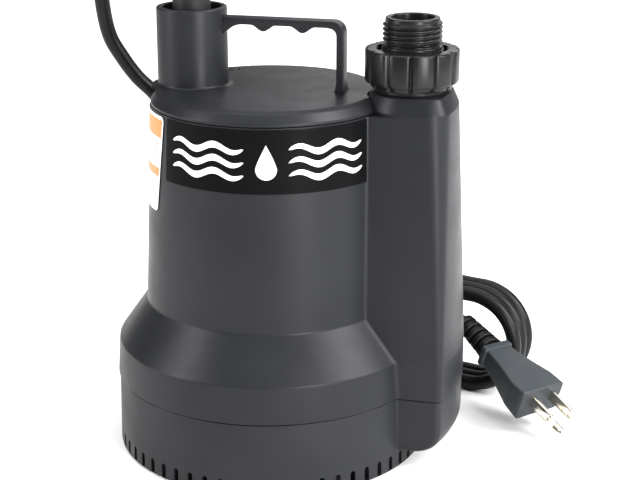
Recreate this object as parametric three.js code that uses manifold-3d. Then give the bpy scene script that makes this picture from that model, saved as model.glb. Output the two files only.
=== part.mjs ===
// Submersible sump pump: moulded body on a slotted strainer base, cable tower and
// carry handle on the cover, side discharge column with a hose adapter, and its cord.
// Millimetres, +Z up. Origin: pump axis at the floor. +X points at the discharge column.

import * as THREE from 'three';
import Module from 'manifold-3d';
import { mergeVertices } from 'three/addons/utils/BufferGeometryUtils.js';

const wasm = await Module();
wasm.setup();

// ---------------------------------------------------------------- driving dimensions

const GAP = 0.3;                 // clearance between touching pieces
const WALL = 3;                  // moulded wall thickness
const ROUND = 60;                // facets around the body

const BASE_RADIUS = 75;          // strainer base at the floor
const BASE_TOP_RADIUS = 74.3;
const SEAM = 36;                 // height of the joint between base and housing
const SKIRT_RADIUS = 75;         // housing skirt, at the seam
const SKIRT_TOP_RADIUS = 73.9;
const SKIRT_TOP = 53.7;
const SHOULDER_RADIUS = 59.9;    // where the cone meets the tall barrel
const SHOULDER = 73.5;
const RIM_RADIUS = 55.3;         // barrel under the cover
const RIM = 167.8;
const COVER_RADIUS = 52.2;       // flat top of the cover
const COVER_TOP = 173.9;

const FLOOR_PLATE = 2.5;         // thickness of the base's bottom plate
const SLOT_COUNT = 60;
const SLOT_WIDTH = 2.6;
const SLOT_BOTTOM = 1.1;
const SLOT_TOP = 8.2;

const COLUMN_X = 67.1;           // discharge axis
const COLUMN_BOTTOM = 9.5;
const COLUMN_WIDE = { half: 30, reach: 93.6, corner: 3.5 };
const COLUMN_NARROW = { half: 21.6, reach: 88.2, corner: 10 };
const COLUMN_SQUARE_TO = 54;     // below this height the column has parallel sides
const COLUMN_BEVEL = 169;        // the column's top edge is bevelled from here
const COLUMN_TOP = 176;
const BEVEL = 3;
const CHAMBER_X = 61;            // inner face of the discharge passage
const PARTITION_X = 57.8;        // motor side of the wall beside the passage

const PITCH = 2.209;             // 11.5 threads per inch
const SPIGOT_RADIUS = 16.6;
const SPIGOT_TOP = 189;
const OUTLET_RADIUS = 9.6;
const HOSE_THREAD_RADIUS = 13.5;
const COLLAR = { bottom: 178.2, top: 195.5, radius: 21.5, bore: 17.1, lobes: 12 };
const ADAPTER_TOP = 209.5;
const NECK_RADIUS = 12.35;       // root of the hose thread
const NECK_FOOT = 191.6;         // underside of the neck's flange
const NECK_SEAT = 193.6;         // shoulder in the collar above that flange

const TOWER_X = -37.1;
const TOWER_RADIUS = 16.5;
const TOWER_BORE = 13.6;
const TOWER_FLOOR = 186;
const TOWER_TOP = 210.3;

const HANDLE_TOP = 206.2;
const HANDLE_UNDER = 203.2;
const HANDLE_BUMP = 2.9;
const HANDLE_BUMPS = [-1.8, 16.8];
const HANDLE_BUMP_HALF = 6;
const HANDLE_OUTER_X = 36.1;
const HANDLE_INNER_X = 32.7;
const HANDLE_WIDTH = 8;

const SCREW_CIRCLE = 67;
const SCREW_ANGLES = [50, 130, 230, 310];

const CORD_RADIUS = 3.85;

// Cord between the tower and the hank, then between the hank and the plug.
const LEAD = [
  [-37.1, 0, 236.3], [-37.1, 0, 244], [-39.4, 1.5, 257.8], [-46, 5.7, 269.5],
  [-55.8, 12.1, 277.4], [-67.4, 19.6, 280.1], [-79, 27.1, 277.4], [-88.8, 33.5, 269.5],
  [-95.4, 37.7, 257.8], [-97.6, 39.2, 244], [-97.8, 39.4, 224], [-97.6, 39.9, 204.4],
  [-95.4, 43, 185.8], [-90.8, 46, 175.3], [-84.7, 50, 164.5], [-77.6, 54.5, 155.5],
  [-71.5, 60.5, 144], [-67.5, 66.5, 130], [-64.5, 73, 114.5], [-61, 80, 99],
  [-55.5, 87, 84.5], [-47.5, 93.6, 72.5], [-37.5, 98.8, 64.5],
];
const TAIL = [
  [45.5, 93.3, 38.2], [56.7, 88.8, 38.2], [66.6, 83.7, 38.3], [75.3, 77.6, 38.4],
  [82.6, 69.8, 38.6], [87.8, 64.5, 37.9],
];
const PLUG_REAR = new THREE.Vector3(102.2, 51, 31);
const PLUG_FRONT = new THREE.Vector3(129.7, 25.3, 17.5);
const RELIEF_LENGTH = 20;

// The hank stands on edge behind the pump, turned a little away from the column.
// `near` and `far` are its face distances from the pump axis, and it runs from
// `left` to `right` along its own length.
const HANK = {
  angle: -16, left: -125, right: 93.5, near: 88.7, far: 108.3, low: 0.2, radius: 28.5, wound: 14.5,
};
const TIE = { left: -22, right: -14, thickness: 1.4 };

// ---------------------------------------------------------------- finishes

const finish = (color, roughness, metalness) =>
  new THREE.MeshStandardMaterial({ color, roughness, metalness });

const FINISH = {
  body: finish(0x3d3f43, 0.55, 0),
  base: finish(0x414347, 0.6, 0),
  adapter: finish(0x26282b, 0.3, 0),
  label: finish(0x0c0d0f, 0.2, 0),
  sticker: finish(0xe9e7e4, 0.4, 0),
  cord: finish(0x17181a, 0.5, 0),
  plug: finish(0x4a4f55, 0.6, 0),
  rubber: finish(0x1c1c1d, 0.8, 0),
  steel: finish(0xb9bcc0, 0.3, 1),
  iron: finish(0x8a8d92, 0.45, 1),
  copper: finish(0xb0683a, 0.4, 1),
  nylon: finish(0xd9d6cc, 0.6, 0),
  brass: finish(0xc8b78a, 0.3, 1),
};

// ---------------------------------------------------------------- geometry tools

// A closed solid from any three.js geometry, with its faces pointing out.
function solid(geometry) {
  const bare = geometry.index ? geometry.toNonIndexed() : geometry.clone();
  for (const name of Object.keys(bare.attributes)) {
    if (name !== 'position') bare.deleteAttribute(name);
  }
  const merged = mergeVertices(bare, 1e-4);
  const index = merged.index.array;
  const triangles = [];
  for (let i = 0; i < index.length; i += 3) {
    const [a, b, c] = [index[i], index[i + 1], index[i + 2]];
    if (a !== b && b !== c && c !== a) triangles.push(a, b, c);
  }
  const vertProperties = new Float32Array(merged.attributes.position.array);
  const build = (order) => new wasm.Manifold(
    new wasm.Mesh({ numProp: 3, vertProperties, triVerts: new Uint32Array(order) }));
  const made = build(triangles);
  if (made.volume() > 0) return made;
  const flipped = [];
  for (let i = 0; i < triangles.length; i += 3) {
    flipped.push(triangles[i], triangles[i + 2], triangles[i + 1]);
  }
  return build(flipped);
}

const join = (...parts) => parts.reduce((sum, part) => sum.add(part));
const cut = (part, ...tools) => tools.reduce((rest, tool) => rest.subtract(tool), part);

// Outline given as [radius, height] pairs, turned about a vertical axis through (x, y).
function turned(outline, segments = ROUND, x = 0, y = 0) {
  const points = outline.map(([r, z]) => new THREE.Vector2(r, z));
  const closed = outline[0][0] < 1e-6 && outline.at(-1)[0] < 1e-6;
  if (!closed) points.push(points[0].clone());
  const geometry = new THREE.LatheGeometry(points, segments);
  geometry.rotateX(Math.PI / 2);
  geometry.translate(x, y, 0);
  return solid(geometry);
}

const rod = (radius, z0, z1, segments = 32, x = 0, y = 0) =>
  turned([[0, z0], [radius, z0], [radius, z1], [0, z1]], segments, x, y);

const ring = (inner, outer, z0, z1, segments = 32, x = 0, y = 0) =>
  turned([[inner, z0], [outer, z0], [outer, z1], [inner, z1]], segments, x, y);

function box(x0, x1, y0, y1, z0, z1) {
  const geometry = new THREE.BoxGeometry(x1 - x0, y1 - y0, z1 - z0);
  geometry.translate((x0 + x1) / 2, (y0 + y1) / 2, (z0 + z1) / 2);
  return solid(geometry);
}

// Outlines of equal length at rising heights, skinned and capped.
function lofted(levels) {
  const count = levels[0].outline.length;
  const positions = levels.flatMap(({ z, outline }) => outline.flatMap(([x, y]) => [x, y, z]));
  const index = [];
  for (let level = 0; level + 1 < levels.length; level += 1) {
    for (let i = 0; i < count; i += 1) {
      const next = (i + 1) % count;
      const low = level * count;
      const high = low + count;
      index.push(low + i, low + next, high + next, low + i, high + next, high + i);
    }
  }
  const top = (levels.length - 1) * count;
  const cap = (level) => THREE.ShapeUtils.triangulateShape(
    level.outline.map(([x, y]) => new THREE.Vector2(x, y)), []);
  for (const [a, b, c] of cap(levels[0])) index.push(a, c, b);
  for (const [a, b, c] of cap(levels.at(-1))) index.push(top + a, top + b, top + c);
  const geometry = new THREE.BufferGeometry();
  geometry.setAttribute('position', new THREE.Float32BufferAttribute(positions, 3));
  geometry.setIndex(index);
  return solid(geometry);
}

// A round bar along a route of points.
function bar(route, radius, halfSides, steps) {
  const section = new THREE.Shape();
  section.absarc(0, 0, radius, 0, Math.PI * 2);
  const extrudePath = new THREE.CatmullRomCurve3(route.map((p) => new THREE.Vector3(...p)));
  return solid(new THREE.ExtrudeGeometry(section, {
    extrudePath, steps, curveSegments: halfSides, bevelEnabled: false }));
}

// A screw thread: the root circle with a ridge that climbs one pitch each turn.
function thread(root, crest, z0, z1) {
  const segments = 24;
  const flank = [[0, root], [0.3, crest], [0.6, root]];
  const turns = Math.ceil((z1 - z0) / PITCH) + 3;
  const start = z0 - 2 * PITCH;
  const rows = turns * flank.length;
  const positions = [];
  for (let row = 0; row <= rows; row += 1) {
    const [part, radius] = flank[row % flank.length];
    const lift = (Math.floor(row / flank.length) + part) * PITCH;
    for (let i = 0; i <= segments; i += 1) {
      const angle = (i / segments) * Math.PI * 2;
      const z = start + lift + (i / segments) * PITCH;
      positions.push(radius * Math.cos(angle), radius * Math.sin(angle), z);
    }
  }
  const wide = segments + 1;
  const bottom = positions.length / 3;
  positions.push(0, 0, start - PITCH, 0, 0, start + (turns + 2) * PITCH);
  const index = [];
  for (let row = 0; row < rows; row += 1) {
    for (let i = 0; i < segments; i += 1) {
      const a = row * wide + i;
      index.push(a, a + 1, a + wide + 1, a, a + wide + 1, a + wide);
    }
  }
  for (let i = 0; i < segments; i += 1) {
    index.push(bottom, i + 1, i);
    index.push(bottom + 1, rows * wide + i, rows * wide + i + 1);
  }
  // the seam: the end of each turn is the start of the row one pitch higher
  const perTurn = flank.length;
  for (let row = 0; row < perTurn; row += 1) {
    index.push(bottom, row * wide, (row + 1) * wide);
    const end = (rows - perTurn + row) * wide + segments;
    index.push(bottom + 1, end + wide, end);
  }
  const geometry = new THREE.BufferGeometry();
  geometry.setAttribute('position', new THREE.Float32BufferAttribute(positions, 3));
  geometry.setIndex(index);
  return solid(geometry).intersect(ring(0.01, crest + 1, z0, z1, 24));
}

const nodes = new THREE.Group();

function add(name, part, material) {
  const mesh = part.getMesh();
  const geometry = new THREE.BufferGeometry();
  geometry.setAttribute('position', new THREE.BufferAttribute(
    new Float32Array(mesh.vertProperties), 3));
  geometry.setIndex(new THREE.BufferAttribute(new Uint32Array(mesh.triVerts), 1));
  geometry.computeVertexNormals();
  const node = new THREE.Mesh(geometry, material);
  node.name = name;
  nodes.add(node);
  return node;
}

// ---------------------------------------------------------------- outer shapes

const mix = (a, b, t) => a + (b - a) * t;

// Radius of the round body at a height.
function bodyRadius(z) {
  const profile = [
    [SEAM, SKIRT_RADIUS], [SKIRT_TOP, SKIRT_TOP_RADIUS],
    [SHOULDER, SHOULDER_RADIUS], [RIM, RIM_RADIUS],
  ];
  const i = Math.max(0, profile.findIndex(([height]) => height >= z) - 1);
  const [[z0, r0], [z1, r1]] = [profile[i], profile[i + 1]];
  return mix(r0, r1, (z - z0) / (z1 - z0));
}

// Column outline at a height: round towards the pump, flat sides, and an end that
// is an arc about the pump axis with rounded corners. `inset` shrinks it all round.
function columnOutline(z, inset = 0) {
  const t = Math.min(1, Math.max(0, (z - COLUMN_SQUARE_TO) / (COLUMN_BEVEL - COLUMN_SQUARE_TO)));
  const half = mix(COLUMN_WIDE.half, COLUMN_NARROW.half, t) - inset;
  const reach = mix(COLUMN_WIDE.reach, COLUMN_NARROW.reach, t) - inset;
  const corner = mix(COLUMN_WIDE.corner, COLUMN_NARROW.corner, t);
  const cornerY = half - corner;
  const cornerX = Math.sqrt((reach - corner) ** 2 - cornerY ** 2);
  const turnAngle = Math.atan2(cornerY, cornerX);
  const points = [];
  for (let i = 0; i <= 12; i += 1) {
    const angle = Math.PI / 2 + (Math.PI * i) / 12;
    points.push([COLUMN_X + half * Math.cos(angle), half * Math.sin(angle)]);
  }
  for (let i = 0; i <= 4; i += 1) {
    const angle = mix(-Math.PI / 2, -turnAngle, i / 4);
    points.push([cornerX + corner * Math.cos(angle), -cornerY + corner * Math.sin(angle)]);
  }
  for (let i = 1; i < 6; i += 1) {
    const angle = mix(-turnAngle, turnAngle, i / 6);
    points.push([reach * Math.cos(angle), reach * Math.sin(angle)]);
  }
  for (let i = 0; i <= 4; i += 1) {
    const angle = mix(turnAngle, Math.PI / 2, i / 4);
    points.push([cornerX + corner * Math.cos(angle), cornerY + corner * Math.sin(angle)]);
  }
  return points;
}

// The water passage inside the column: the same shape, cut off on the pump side.
function passage(z0, z1) {
  const heights = [z0, COLUMN_SQUARE_TO, z1].filter((z) => z <= z1);
  const inside = lofted(heights.map((z) => ({ z, outline: columnOutline(z, WALL) })));
  return inside.intersect(box(CHAMBER_X, 120, -60, 60, z0 - 1, z1 + 1));
}

const onCircle = (radius, degrees) => {
  const angle = (degrees * Math.PI) / 180;
  return [radius * Math.cos(angle), radius * Math.sin(angle)];
};

// ---------------------------------------------------------------- strainer base

function strainerBase() {
  const top = SEAM - GAP / 2;
  const shell = turned([
    [0, 0], [BASE_RADIUS - 1, 0], [BASE_RADIUS, 1],
    [BASE_TOP_RADIUS, top], [0, top],
  ]);
  const block = lofted([
    { z: COLUMN_BOTTOM, outline: columnOutline(COLUMN_BOTTOM, 2) },
    { z: COLUMN_BOTTOM + 2.5, outline: columnOutline(COLUMN_BOTTOM, 0.4) },
    { z: top, outline: columnOutline(COLUMN_BOTTOM, 0.4) },
  ]);
  const sump = cut(
    rod(BASE_RADIUS - WALL, FLOOR_PLATE, SEAM + 1, ROUND),
    box(PARTITION_X, 100, -60, 60, COLUMN_BOTTOM, SEAM + 2));
  const nozzleWay = box(PARTITION_X - 2, CHAMBER_X + 2, -10, 10, 15.5, 30);
  let base = cut(join(shell, block), sump, passage(COLUMN_BOTTOM + WALL, SEAM + 1), nozzleWay);
  for (const degrees of SCREW_ANGLES) {
    const [x, y] = onCircle(SCREW_CIRCLE, degrees);
    base = cut(
      base.add(rod(5.6, 1, top, 12, x, y)),
      rod(2.4, -1, SEAM + 1, 10, x, y),
      rod(4.3, -1, 5, 12, x, y));
  }
  const half = SLOT_WIDTH / 2;
  const slotOutline = new THREE.Shape([
    new THREE.Vector2(-half, SLOT_BOTTOM), new THREE.Vector2(half, SLOT_BOTTOM),
    new THREE.Vector2(half, SLOT_TOP), new THREE.Vector2(-half, SLOT_TOP),
  ]);
  const slots = [];
  for (let i = 0; i < SLOT_COUNT; i += 1) {
    const angle = ((i + 0.5) / SLOT_COUNT) * Math.PI * 2;
    const slot = new THREE.ExtrudeGeometry(slotOutline, { depth: 8, bevelEnabled: false });
    slot.rotateX(Math.PI / 2);
    slot.translate(0, BASE_RADIUS + 4, 0);
    slot.rotateZ(angle - Math.PI / 2);
    slots.push(solid(slot));
  }
  return cut(base, join(...slots));
}

// ---------------------------------------------------------------- main housing

function mainHousing() {
  const bottom = SEAM + GAP / 2;
  const body = turned([
    [0, bottom], [SKIRT_RADIUS, bottom], [SKIRT_TOP_RADIUS, SKIRT_TOP],
    [SHOULDER_RADIUS, SHOULDER], [RIM_RADIUS, RIM - GAP], [0, RIM - GAP],
  ]);
  const column = lofted([
    { z: bottom, outline: columnOutline(bottom) },
    { z: COLUMN_SQUARE_TO, outline: columnOutline(COLUMN_SQUARE_TO) },
    { z: COLUMN_BEVEL, outline: columnOutline(COLUMN_BEVEL) },
    { z: COLUMN_TOP, outline: columnOutline(COLUMN_BEVEL, BEVEL) },
  ]);
  const chamber = cut(
    turned([
      [0, bottom - 1], [SKIRT_RADIUS - WALL, bottom - 1], [SKIRT_TOP_RADIUS - WALL, SKIRT_TOP - 2],
      [SHOULDER_RADIUS - WALL, SHOULDER - 2], [RIM_RADIUS - WALL + 0.3, RIM - GAP],
      [0, RIM - GAP],
    ]),
    box(PARTITION_X, 100, -60, 60, 0, SHOULDER + 10));
  const spigot = rod(SPIGOT_RADIUS, COLUMN_TOP - 1, SPIGOT_TOP, 28, COLUMN_X);
  let housing = cut(
    join(body, column, spigot),
    chamber,
    passage(bottom - 1, COLUMN_BEVEL - 6),
    rod(12.5, COLUMN_BEVEL - 8, SPIGOT_TOP + 1, 24, COLUMN_X));
  for (const degrees of SCREW_ANGLES) {
    const [x, y] = onCircle(SCREW_CIRCLE, degrees);
    const boss = cut(rod(5.6, bottom, 50, 12, x, y), rod(2.4, bottom - 1, 47, 10, x, y));
    housing = housing.subtract(rod(5, bottom, 47, 12, x, y)).add(boss);
  }
  return housing;
}

// ---------------------------------------------------------------- cover, tower, handle

function handleOutline() {
  const towerSide = TOWER_X + TOWER_RADIUS - 2;
  const points = [[towerSide, HANDLE_TOP], [towerSide, HANDLE_UNDER - 5]];
  const rootEnd = TOWER_X + TOWER_RADIUS + 9;
  const innerX = HANDLE_INNER_X;
  for (let x = TOWER_X + TOWER_RADIUS + 1; x < innerX - 4; x += 1.6) {
    let under = HANDLE_UNDER;
    for (const bump of HANDLE_BUMPS) {
      const near = Math.abs(x - bump) / HANDLE_BUMP_HALF;
      if (near < 1) under -= HANDLE_BUMP * Math.cos((near * Math.PI) / 2) ** 2;
    }
    if (x < rootEnd) under -= 4.2 * ((rootEnd - x) / 9) ** 2;
    points.push([x, under]);
  }
  const fillet = (cx, cz, radius, from, to) => {
    for (let i = 0; i <= 5; i += 1) {
      const angle = mix(from, to, i / 5);
      points.push([cx + radius * Math.cos(angle), cz + radius * Math.sin(angle)]);
    }
  };
  fillet(innerX - 3.5, HANDLE_UNDER - 3.7, 3.5, Math.PI / 2, 0);
  points.push([innerX, COVER_TOP - 1], [HANDLE_OUTER_X, COVER_TOP - 1]);
  fillet(HANDLE_OUTER_X - 5.5, HANDLE_TOP - 5.5, 5.5, 0, Math.PI / 2);
  return new THREE.Shape(points.map(([x, z]) => new THREE.Vector2(x, z)));
}

function topCover() {
  const underside = COVER_TOP - 3.5;
  const plate = turned([
    [0, underside], [RIM_RADIUS - 5.5, underside], [RIM_RADIUS - 5.5, RIM - 6],
    [RIM_RADIUS - WALL - 0.3, RIM - 6], [RIM_RADIUS - WALL - 0.3, RIM],
    [RIM_RADIUS, RIM], [RIM_RADIUS - 0.2, RIM + 1], [COVER_RADIUS + 0.6, COVER_TOP - 0.5],
    [COVER_RADIUS - 0.6, COVER_TOP], [0, COVER_TOP],
  ]);
  const tower = rod(TOWER_RADIUS, RIM, TOWER_TOP, 36, TOWER_X);
  const towerHollow = rod(TOWER_BORE, TOWER_FLOOR, TOWER_TOP + 1, 32, TOWER_X);
  const underTower = rod(TOWER_BORE, RIM - 8, TOWER_FLOOR - WALL, 32, TOWER_X);
  const cableHole = rod(CORD_RADIUS + GAP, RIM, TOWER_FLOOR + 1, 20, TOWER_X);
  const handle = new THREE.ExtrudeGeometry(
    handleOutline(), { depth: HANDLE_WIDTH, bevelEnabled: false });
  handle.rotateX(Math.PI / 2);
  handle.translate(0, HANDLE_WIDTH / 2, 0);
  const columnNotch = rod(COLUMN_NARROW.half + 0.6, RIM - GAP, COVER_TOP + 1, 36, COLUMN_X);
  const [plugX, plugY] = PLUG_PLACE;
  return cut(
    join(plate, tower, solid(handle)),
    towerHollow, underTower, cableHole, columnNotch,
    rod(3.6, COVER_TOP - 1.4, COVER_TOP + 1, 20, plugX, plugY),
    rod(2.3, RIM, COVER_TOP, 16, plugX, plugY));
}

const PLUG_PLACE = [-28.5, 35];

function oilPlug() {
  const [x, y] = PLUG_PLACE;
  const head = turned([
    [0, COVER_TOP - 1.1], [3.1, COVER_TOP - 1.1], [3.1, COVER_TOP + 0.2],
    [2.5, COVER_TOP + 0.7], [0, COVER_TOP + 0.7],
  ], 20, x, y);
  const driveSlot = box(x - 2.2, x + 2.2, y - 0.4, y + 0.4, COVER_TOP, COVER_TOP + 2);
  return cut(join(head, rod(2, RIM + 1, COVER_TOP - 1, 16, x, y)), driveSlot);
}

// ---------------------------------------------------------------- hose adapter

function hoseAdapter() {
  const { bottom, top, radius, bore, lobes } = COLLAR;
  const outline = [];
  for (let i = 0; i < lobes; i += 1) {
    for (const [part, depth] of [[0.1, 0], [0.5, 0], [0.9, 0], [0.96, 1.1], [1.04, 1.1]]) {
      const angle = ((i + part) / lobes) * Math.PI * 2;
      outline.push([(radius - depth) * Math.cos(angle), (radius - depth) * Math.sin(angle)]);
    }
  }
  const collar = lofted([
    { z: bottom, outline }, { z: top, outline },
  ]).intersect(turned([
    [0, bottom], [radius - 2.2, bottom], [radius - 1.6, bottom + 1.6], [radius - 0.5, bottom + 2],
    [radius, bottom + 2.8], [radius, top - 0.8], [radius - 0.8, top], [0, top],
  ], 48));
  return cut(
    collar,
    rod(bore, bottom - 1, NECK_SEAT, 32),
    rod(NECK_RADIUS + GAP, NECK_SEAT - 1, top + 1, 32)).translate([COLUMN_X, 0, 0]);
}

// The threaded neck is held in the collar by the flange at its foot.
function hoseNeck() {
  const tube = turned([
    [OUTLET_RADIUS, NECK_FOOT], [COLLAR.bore - GAP, NECK_FOOT], [COLLAR.bore - GAP, NECK_SEAT - GAP],
    [NECK_RADIUS, NECK_SEAT - GAP], [NECK_RADIUS, ADAPTER_TOP], [OUTLET_RADIUS, ADAPTER_TOP],
  ], 24);
  const hoseThread = thread(NECK_RADIUS, HOSE_THREAD_RADIUS, COLLAR.top + 0.4, ADAPTER_TOP - 2.2);
  return cut(
    join(tube, hoseThread),
    rod(OUTLET_RADIUS, NECK_FOOT - 1, ADAPTER_TOP + 1, 24)).translate([COLUMN_X, 0, 0]);
}

// ---------------------------------------------------------------- labels

// A thin sheet that follows the barrel between two angles and two heights.
function wrapped(from, to, z0, z1, thickness) {
  const levels = [z0, z1].map((z) => {
    const inner = bodyRadius(z) + GAP;
    const steps = Math.round((to - from) / 5);
    const outline = [];
    for (let i = 0; i <= steps; i += 1) {
      outline.push(onCircle(inner + thickness, mix(from, to, i / steps)));
    }
    for (let i = steps; i >= 0; i -= 1) outline.push(onCircle(inner, mix(from, to, i / steps)));
    return { z, outline };
  });
  return lofted(levels);
}

// ---------------------------------------------------------------- pump and motor

const EYE_RADIUS = 14;
const VOLUTE = { bottom: 10, radius: 46, top: 33.3, flange: 57 };

function voluteCasing() {
  const { bottom, radius, top, flange } = VOLUTE;
  const bowl = turned([
    [EYE_RADIUS, bottom], [radius, bottom], [radius, top - 3], [flange, top - 3],
    [flange, top], [radius - 2.5, top], [radius - 2.5, bottom + 2.5], [EYE_RADIUS, bottom + 2.5],
  ], 36);
  const nozzleEnd = PARTITION_X - GAP;
  const nozzle = cut(
    box(radius - 6, nozzleEnd, -12.5, 12.5, 13, 32.5),
    turned([[0, 0], [radius - 2.5, 0], [radius - 2.5, 40], [0, 40]], 36));
  return cut(
    join(bowl, nozzle).intersect(box(-80, nozzleEnd, -80, 80, 0, 60)),
    box(radius - 8, nozzleEnd + 1, -10, 10, 15.5, 30));
}

const SHAFT_RADIUS = 4;

function impeller() {
  const disc = turned([
    [SHAFT_RADIUS + GAP, 16], [9, 16], [9, 26], [38, 28.5], [38, 31], [SHAFT_RADIUS + GAP, 31],
  ], 36);
  const vanes = [];
  for (let i = 0; i < 6; i += 1) {
    const vane = new THREE.BoxGeometry(30, 2.4, 10.5);
    vane.translate(22.5, 0, 22.75);
    vane.rotateZ((i / 6) * Math.PI * 2);
    vanes.push(solid(vane));
  }
  const trimmed = cut(join(...vanes), rod(SHAFT_RADIUS + GAP, 10, 40, 24));
  return join(disc, trimmed.intersect(rod(37, 10, 30, 36)));
}

// ---------------------------------------------------------------- plug on the cord

// Frame of the plug: +X out along the blades, +Z away from the floor.
function plugFrame(part) {
  const along = PLUG_FRONT.clone().sub(PLUG_REAR).normalize();
  const side = new THREE.Vector3(0, 0, 1).cross(along).normalize();
  const up = along.clone().cross(side);
  const matrix = new THREE.Matrix4().makeBasis(along, side, up).setPosition(PLUG_REAR);
  return part.transform(matrix.elements);
}

const PLUG_LENGTH = PLUG_FRONT.distanceTo(PLUG_REAR);

function plugBody() {
  const section = (x, halfWidth, halfHeight) => {
    const outline = [];
    for (let i = 0; i < 16; i += 1) {
      const angle = ((i + 0.5) / 16) * Math.PI * 2;
      const c = Math.cos(angle);
      const s = Math.sin(angle);
      const power = 0.4;
      outline.push([
        halfHeight * Math.sign(c) * Math.abs(c) ** power,
        halfWidth * Math.sign(s) * Math.abs(s) ** power]);
    }
    return { z: x, outline };
  };
  const body = lofted([
    section(0, 8.5, 6), section(3.5, 9, 6.4), section(4, 8, 5.8), section(12, 9.5, 6.6),
    section(26, 12.6, 8.6), section(PLUG_LENGTH, 13.2, 9),
  ]);
  return plugFrame(body.rotate([0, 90, 0]));
}

const plugPin = (y, z, halfY, halfZ, length) => plugFrame(box(
  PLUG_LENGTH + GAP, PLUG_LENGTH + length, y - halfY, y + halfY, z - halfZ, z + halfZ));

// ---------------------------------------------------------------- the assembly

add('strainer_base', strainerBase(), FINISH.base);
add('main_housing', mainHousing(), FINISH.body);
add('top_cover', topCover(), FINISH.body);
add('oil_fill_plug', oilPlug(), FINISH.rubber);
add('label_band', wrapped(-129.5, -22.8, 138.4, RIM - 0.8, 0.4), FINISH.label);
add('side_label', wrapped(-190, -132.3, 121.5, RIM - 1, 0.4), FINISH.sticker);

add('hose_adapter', hoseAdapter(), FINISH.adapter);
add('hose_neck', hoseNeck(), FINISH.adapter);
add('hose_washer',
  ring(OUTLET_RADIUS + 0.6, COLLAR.bore - GAP, SPIGOT_TOP + GAP, SPIGOT_TOP + 2.3, 24, COLUMN_X),
  FINISH.rubber);

add('volute_casing', voluteCasing(), FINISH.base);
add('impeller', impeller(), FINISH.nylon);
add('impeller_nut', rod(5.2, 11.6, 15.7, 6).subtract(rod(3.3, 11, 14.2, 16)), FINISH.brass);
add('casing_o_ring', (() => {
  const section = new THREE.TorusGeometry(53, 1.2, 5, 30);
  section.translate(0, 0, VOLUTE.top + 1.55);
  return solid(section);
})(), FINISH.rubber);
add('seal_plate',
  cut(rod(60.6, 36.4, 40.4, 48), rod(10.4, 30, 50, 24),
    box(PARTITION_X - GAP, 80, -60, 60, 30, 50)),
  FINISH.base);
add('shaft_seal', ring(SHAFT_RADIUS + GAP, 10, 35, 43.6, 24), FINISH.rubber);
add('motor_shaft', rod(SHAFT_RADIUS, 16, 147, 24), FINISH.steel);
add('lower_end_bracket', turned([
  [12.4, 44], [43.7, 44], [43.7, 47.6], [15.4, 47.6], [15.4, 56], [12.4, 56],
], 30), FINISH.iron);
add('lower_bearing', ring(SHAFT_RADIUS + GAP, 12.1, 46, 54, 24), FINISH.steel);
add('motor_casing', ring(42.6, 44, 48, 138, 48), FINISH.steel);
add('stator_core', ring(22.6, 42.3, 68, 116, 40), FINISH.iron);
for (const [name, z0] of [['stator_winding_lower', 53], ['stator_winding_upper', 116.4]]) {
  add(name, turned([
    [26, z0], [36, z0], [39, z0 + 3], [39, z0 + 11.5], [36, z0 + 14.5], [26, z0 + 14.5],
  ], 28), FINISH.copper);
}
add('rotor_core', ring(SHAFT_RADIUS + GAP, 22, 67, 117, 40), FINISH.iron);
add('upper_end_bracket', turned([
  [12.4, 134], [15.4, 134], [15.4, 138.4], [43.7, 138.4], [43.7, 142], [12.4, 142],
], 30), FINISH.iron);
add('upper_bearing', ring(SHAFT_RADIUS + GAP, 12.1, 134.5, 142, 24), FINISH.steel);
add('run_capacitor', (() => {
  const can = new THREE.CylinderGeometry(6.5, 6.5, 42, 24);
  can.translate(24, 0, 156);
  return solid(can);
})(), FINISH.steel);
add('thermal_protector', box(-30, -12, -6, 6, 143, 148), FINISH.rubber);

SCREW_ANGLES.forEach((degrees, i) => {
  const [x, y] = onCircle(SCREW_CIRCLE, degrees);
  const head = cut(rod(3.9, 1.4, 4.6, 12, x, y), box(x - 3, x + 3, y - 0.5, y + 0.5, 1, 2.4));
  add(`housing_screw_${i + 1}`, join(head, rod(2, 4, 45, 8, x, y)), FINISH.steel);
});

add('cord_gland_ring',
  ring(9.2, TOWER_BORE - GAP, TOWER_FLOOR + GAP, TOWER_FLOOR + 8, 24, TOWER_X), FINISH.adapter);
add('cord_strain_relief', turned([
  [0, TOWER_FLOOR + GAP], [8.8, TOWER_FLOOR + GAP], [8.8, 217], [7.6, 220], [5, 236], [0, 236],
], 24, TOWER_X), FINISH.rubber);
add('power_cord_lead', bar(LEAD, CORD_RADIUS, 5, 60), FINISH.cord);

function hank() {
  const { angle, left, right, near, far, low, radius, wound } = HANK;
  const oval = (shape, r) => {
    shape.absarc(right - radius, low + radius, r, -Math.PI / 2, Math.PI / 2);
    shape.absarc(left + radius, low + radius, r, Math.PI / 2, Math.PI * 1.5);
    return shape;
  };
  const outline = oval(new THREE.Shape(), radius);
  outline.holes.push(oval(new THREE.Path(), radius - wound));
  const geometry = new THREE.ExtrudeGeometry(outline, {
    depth: far - near, bevelEnabled: false, curveSegments: 16 });
  geometry.rotateX(Math.PI / 2);
  geometry.translate(0, far, 0);
  geometry.rotateZ((angle * Math.PI) / 180);
  return solid(geometry);
}

// The tie goes round the upper run of the hank only, through its opening.
function hankTie() {
  const { angle, near, far, low, radius, wound } = HANK;
  const top = low + 2 * radius + GAP;
  const bottom = low + 2 * radius - wound - GAP;
  const { left, right, thickness } = TIE;
  const band = cut(
    box(left, right, near - GAP - thickness, far + GAP + thickness, bottom - thickness,
      top + thickness),
    box(left - 1, right + 1, near - GAP, far + GAP, bottom, top));
  return band.rotate([0, 0, angle]);
}

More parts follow.
